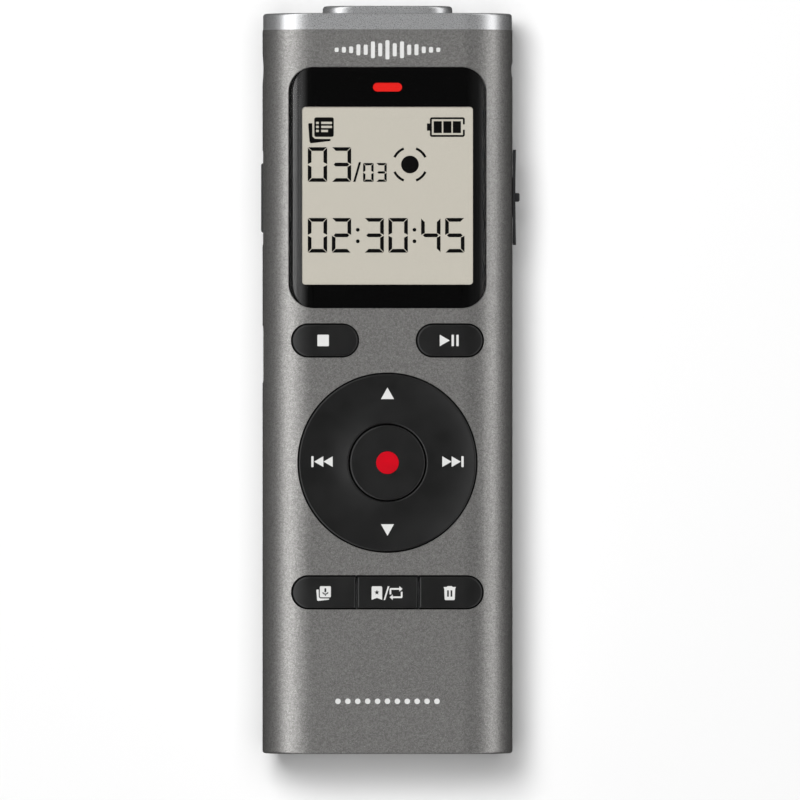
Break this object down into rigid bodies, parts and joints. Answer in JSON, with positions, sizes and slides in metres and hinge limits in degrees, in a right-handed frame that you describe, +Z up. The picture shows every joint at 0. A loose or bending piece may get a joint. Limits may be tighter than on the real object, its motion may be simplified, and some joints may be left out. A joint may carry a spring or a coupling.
{
  "type": "handheld voice recorder",
  "caption": "Slim handheld voice recorder with a display, transport keys, a rocking navigation ring, a power slider and a sliding battery door.",
  "frame": {"origin": "centre of the flat back face that the recorder lies on", "axes": "+X to the right as the display is read, +Y along the body towards the microphones, +Z up out of the display"},
  "size_m": [0.0393, 0.1135, 0.0193],
  "materials": {
    "body_paint": "gunmetal metallic paint with a fine sparkle over plastic",
    "cap_satin": "satin anodised",
    "grille_black": "black painted, perforated",
    "foam_black": "open-cell foam",
    "lens_clear": "polished window",
    "mask_black": "screen-printed black",
    "lcd_glass": "greyish beige reflective display",
    "light_guide": "milky light guide",
    "frame_grey": "moulded, plain",
    "flex_amber": "amber film",
    "led_red": "translucent red",
    "led_white": "moulded lamp",
    "key_black": "smooth satin black",
    "dot_red": "red inlay",
    "silicone": "moulded silicone",
    "boot_rubber": "soft black rubber",
    "dome_metal": "stamped dome",
    "switch_black": "moulded",
    "slider_black": "fine satin texture",
    "steel": "plain plated steel",
    "jack_black": "moulded socket",
    "board_green": "solder resist",
    "chip_black": "moulded package",
    "can_metal": "plated can",
    "cell_wrap": "printed wrap on a steel can",
    "contact_metal": "nickel plated",
    "cone_film": "thin moulded film",
    "lead_wire": "insulated wire"
  },
  "bodies": {
    "recorder": {"front_housing": "body_paint", "rear_housing": "body_paint", "top_cap": "cap_satin", "mic_bezel": "cap_satin", "mic_grille": "grille_black", "mic_foam": "foam_black", "mic_capsules": "can_metal", "mic_boots": "boot_rubber", "mic_leads": "lead_wire", "display_lens": "lens_clear", "lens_mask": "mask_black", "lcd_panel": "lcd_glass", "lcd_backlight": "light_guide", "lcd_frame": "frame_grey", "lcd_flex": "flex_amber", "led_lens": "led_red", "led_chip": "led_white", "keypad_mat": "silicone", "dome_switches": "dome_metal", "side_switch": "switch_black", "power_switch": "can_metal", "strap_pin": "steel", "headphone_jack": "jack_black", "usb_socket": "steel", "usb_tongue": "jack_black", "pcb": "board_green", "processor_chip": "chip_black", "memory_chip": "chip_black", "crystal": "can_metal", "pcb_passives": "frame_grey", "battery_left": "cell_wrap", "battery_right": "cell_wrap", "contact_springs": "contact_metal", "contact_bridge": "contact_metal", "contact_tabs": "contact_metal", "speaker_gasket": "foam_black", "speaker_basket": "steel", "speaker_magnet": "can_metal", "speaker_cone": "cone_film", "speaker_leads": "lead_wire", "housing_screws": "steel", "pcb_screws": "steel"},
    "stop": {"stop_key": "key_black"},
    "play": {"play_key": "key_black"},
    "index": {"index_key": "key_black"},
    "mark": {"mark_key": "key_black"},
    "delete": {"delete_key": "key_black"},
    "record": {"record_key": "key_black", "record_dot": "dot_red"},
    "nav_rocker": {"nav_pad": "silicone"},
    "nav": {"nav_ring": "key_black"},
    "side_button": {"side_key": "slider_black"},
    "slider": {"power_slider": "slider_black", "switch_lever": "switch_black"},
    "door": {"battery_door": "body_paint"}
  },
  "joints": [
    {"name": "stop_press", "type": "slide", "parent": "recorder", "child": "stop", "axis": [0, 0, -1], "range_m": [0, 0.0004], "stiffness_N_per_m": 400, "springref_m": -0.0003},
    {"name": "play_press", "type": "slide", "parent": "recorder", "child": "play", "axis": [0, 0, -1], "range_m": [0, 0.0004], "stiffness_N_per_m": 400, "springref_m": -0.0003},
    {"name": "index_press", "type": "slide", "parent": "recorder", "child": "index", "axis": [0, 0, -1], "range_m": [0, 0.0004], "stiffness_N_per_m": 400, "springref_m": -0.0003},
    {"name": "mark_press", "type": "slide", "parent": "recorder", "child": "mark", "axis": [0, 0, -1], "range_m": [0, 0.0004], "stiffness_N_per_m": 400, "springref_m": -0.0003},
    {"name": "delete_press", "type": "slide", "parent": "recorder", "child": "delete", "axis": [0, 0, -1], "range_m": [0, 0.0004], "stiffness_N_per_m": 400, "springref_m": -0.0003},
    {"name": "record_press", "type": "slide", "parent": "recorder", "child": "record", "axis": [0, 0, -1], "range_m": [0, 0.0004], "stiffness_N_per_m": 400, "springref_m": -0.0003},
    {"name": "nav_up_down", "type": "hinge", "parent": "recorder", "child": "nav_rocker", "pos_m": [0, -0.012, 0.017], "axis": [1, 0, 0], "range_deg": [-1.5, 1.5], "stiffness_Nm_per_rad": 0.3},
    {"name": "nav_left_right", "type": "hinge", "parent": "nav_rocker", "child": "nav", "pos_m": [0, -0.012, 0.017], "axis": [0, 1, 0], "range_deg": [-1.5, 1.5], "stiffness_Nm_per_rad": 0.3},
    {"name": "side_button_press", "type": "slide", "parent": "recorder", "child": "side_button", "axis": [1, 0, 0], "range_m": [0, 0.0003], "stiffness_N_per_m": 400, "springref_m": -0.0003},
    {"name": "power_slide", "type": "slide", "parent": "recorder", "child": "slider", "axis": [0, 1, 0], "range_m": [-0.002, 0.002]},
    {"name": "door_slide", "type": "slide", "parent": "recorder", "child": "door", "axis": [0, -1, 0], "range_m": [0, 0.056]}
  ]
}
